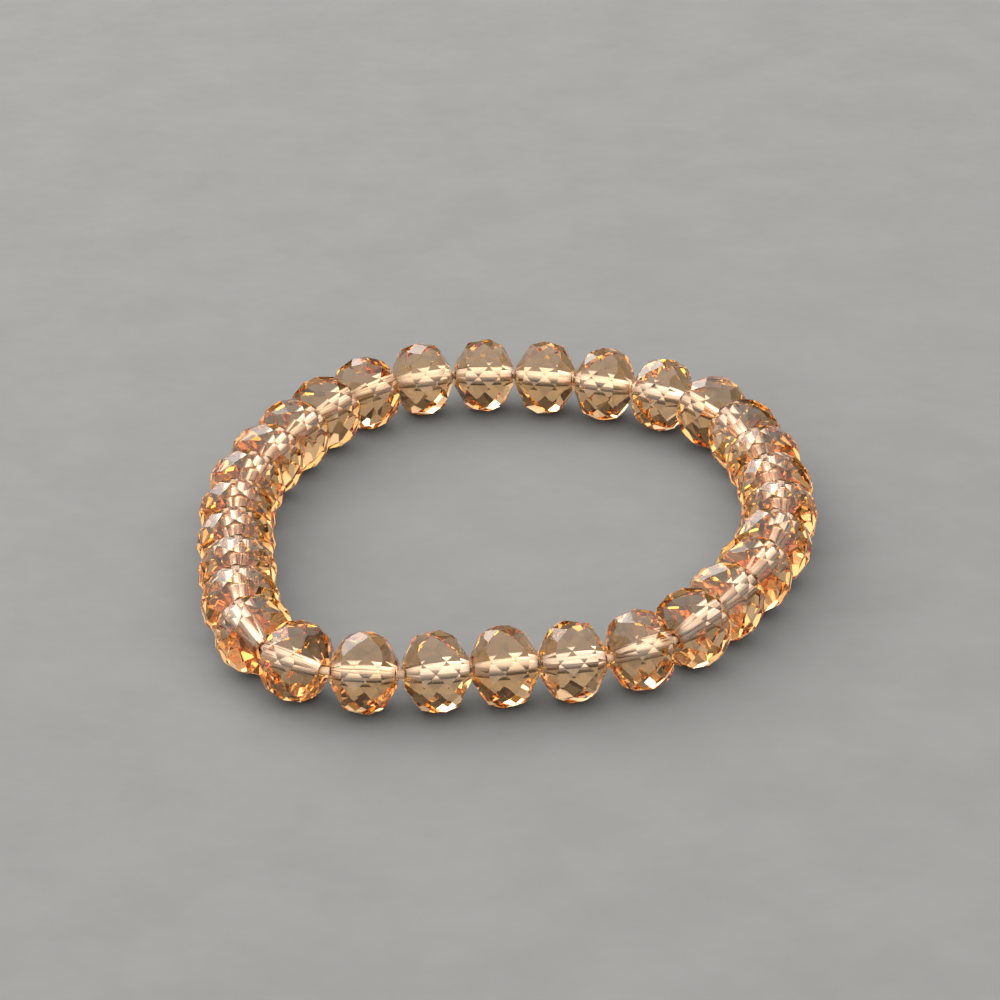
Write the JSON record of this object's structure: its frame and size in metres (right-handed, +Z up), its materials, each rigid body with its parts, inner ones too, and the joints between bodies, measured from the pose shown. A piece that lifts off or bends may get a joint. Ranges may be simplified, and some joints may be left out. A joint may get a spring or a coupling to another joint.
{
  "type": "beaded stretch bracelet",
  "caption": "Stretch bracelet of faceted glass rondelle beads threaded on one clear elastic, lying as a loose closed loop.",
  "frame": {"origin": "on the surface the bracelet lies on, under the middle of the loop's box", "axes": "+Z up off the surface, +Y along the loop's longer side, away from its straight front run, +X along its shorter side"},
  "size_m": [0.0636, 0.0782, 0.008],
  "materials": {
    "bead_glass": "transparent champagne-peach glass, polished flat facets",
    "elastic": "clear stretch elastic, smooth and slightly milky"
  },
  "bodies": {
    "root": {"bead_01": "bead_glass", "bead_02": "bead_glass", "bead_03": "bead_glass", "bead_04": "bead_glass", "bead_05": "bead_glass", "bead_06": "bead_glass", "bead_07": "bead_glass", "bead_08": "bead_glass", "bead_09": "bead_glass", "bead_10": "bead_glass", "bead_11": "bead_glass", "bead_12": "bead_glass", "bead_13": "bead_glass", "bead_14": "bead_glass", "bead_15": "bead_glass", "bead_16": "bead_glass", "bead_17": "bead_glass", "bead_18": "bead_glass", "bead_19": "bead_glass", "bead_20": "bead_glass", "bead_21": "bead_glass", "bead_22": "bead_glass", "bead_23": "bead_glass", "bead_24": "bead_glass", "bead_25": "bead_glass", "bead_26": "bead_glass", "bead_27": "bead_glass", "bead_28": "bead_glass", "bead_29": "bead_glass", "bead_30": "bead_glass", "elastic": "elastic"}
  },
  "joints": []
}
